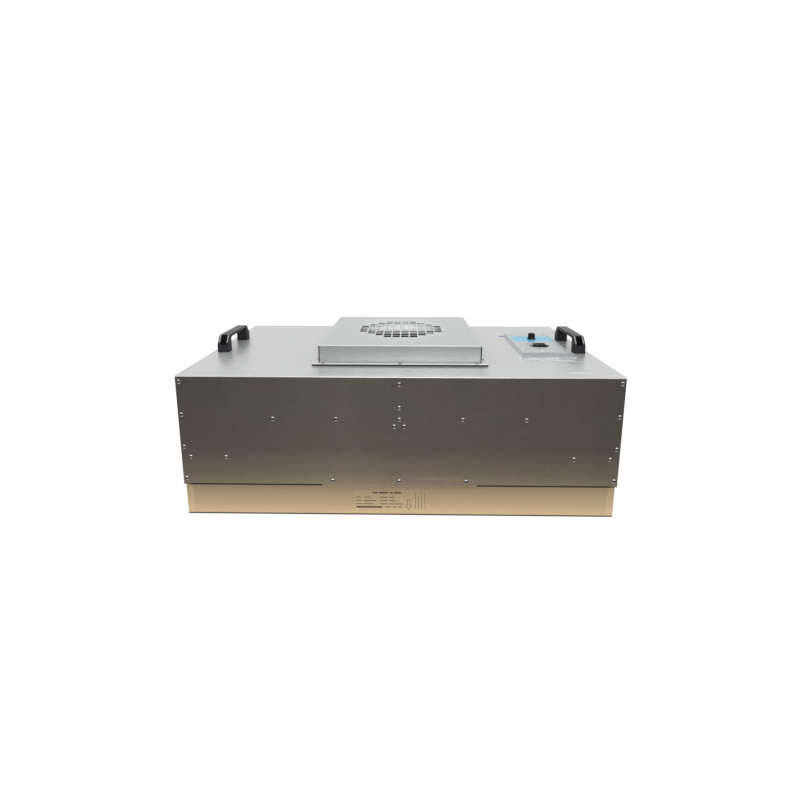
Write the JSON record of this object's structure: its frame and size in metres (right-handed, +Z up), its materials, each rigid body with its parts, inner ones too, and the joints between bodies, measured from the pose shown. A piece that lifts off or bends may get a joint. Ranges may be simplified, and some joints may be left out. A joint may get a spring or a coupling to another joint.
{
  "type": "fan filter unit",
  "caption": "Ceiling fan filter unit: sheet-metal casing with a grilled intake cowl, carrying handles and a dial control box over a deep pleated filter.",
  "frame": {"origin": "middle of the underside of the lower gasket, where the unit rests on the ceiling grid", "axes": "+X along the length towards the control box, +Y from the front wall to the back wall, +Z up"},
  "size_m": [0.975, 0.575, 0.3775],
  "materials": {
    "galvanised_steel": "bright galvanised sheet, satin with soft reflections",
    "anodised_aluminium": "extruded frame, matt anodised in a warm tan",
    "black_moulding": "moulded black plastic, satin",
    "inlet_moulding": "moulded black plastic, matt",
    "control_lid": "light grey paint, satin",
    "foam_gasket": "closed-cell foam strip, matt",
    "filter_paper": "pleated filter paper, matt",
    "guard_paint": "white paint, satin",
    "impeller_sheet": "plain sheet aluminium, satin",
    "motor_body": "black paint on die-cast metal, satin",
    "motor_steel": "ground steel",
    "bright_fastener": "bright zinc plate",
    "contact_metal": "bright brass",
    "capacitor_can": "drawn aluminium can",
    "terminal_plastic": "cream moulded plastic"
  },
  "bodies": {
    "casing": {"casing_shell": "galvanised_steel", "end_panel_left": "galvanised_steel", "end_panel_right": "galvanised_steel", "sill_front": "galvanised_steel", "sill_back": "galvanised_steel", "motor_plate": "galvanised_steel", "strut_front": "galvanised_steel", "strut_back": "galvanised_steel", "gusset_front": "galvanised_steel", "gusset_back": "galvanised_steel", "deflector_left": "galvanised_steel", "deflector_right": "galvanised_steel", "inlet_ring": "inlet_moulding", "bearing_lower": "motor_steel", "bearing_upper": "motor_steel", "motor_stator": "motor_body", "stator_core": "motor_steel", "intake_cowl": "galvanised_steel", "cowl_gasket": "foam_gasket", "handle_left": "black_moulding", "handle_right": "black_moulding", "control_tray": "galvanised_steel", "control_lid": "control_lid", "speed_controller": "black_moulding", "controller_nut": "bright_fastener", "power_inlet": "black_moulding", "inlet_pins": "contact_metal", "run_capacitor": "capacitor_can", "terminal_block": "terminal_plastic", "filter_frame_left": "anodised_aluminium", "filter_frame_right": "anodised_aluminium", "filter_frame_front": "anodised_aluminium", "filter_frame_back": "anodised_aluminium", "face_guard": "guard_paint", "filter_media": "filter_paper", "grid_gasket": "foam_gasket", "seal_gasket": "foam_gasket", "handle_bolts": "bright_fastener", "handle_nuts": "bright_fastener"},
    "fan": {"impeller": "impeller_sheet", "motor_rotor": "motor_body", "motor_shaft": "motor_steel"},
    "dial": {"speed_dial": "black_moulding", "controller_stem": "motor_steel"}
  },
  "joints": [
    {"name": "fan_spin", "type": "hinge", "parent": "casing", "child": "fan", "pos_m": [0, 0, 0.26], "axis": [0, 0, 1], "continuous": true},
    {"name": "dial_turn", "type": "hinge", "parent": "casing", "child": "dial", "pos_m": [0.37, 0.058, 0.346], "axis": [0, 0, -1], "range_deg": [0, 300]}
  ]
}
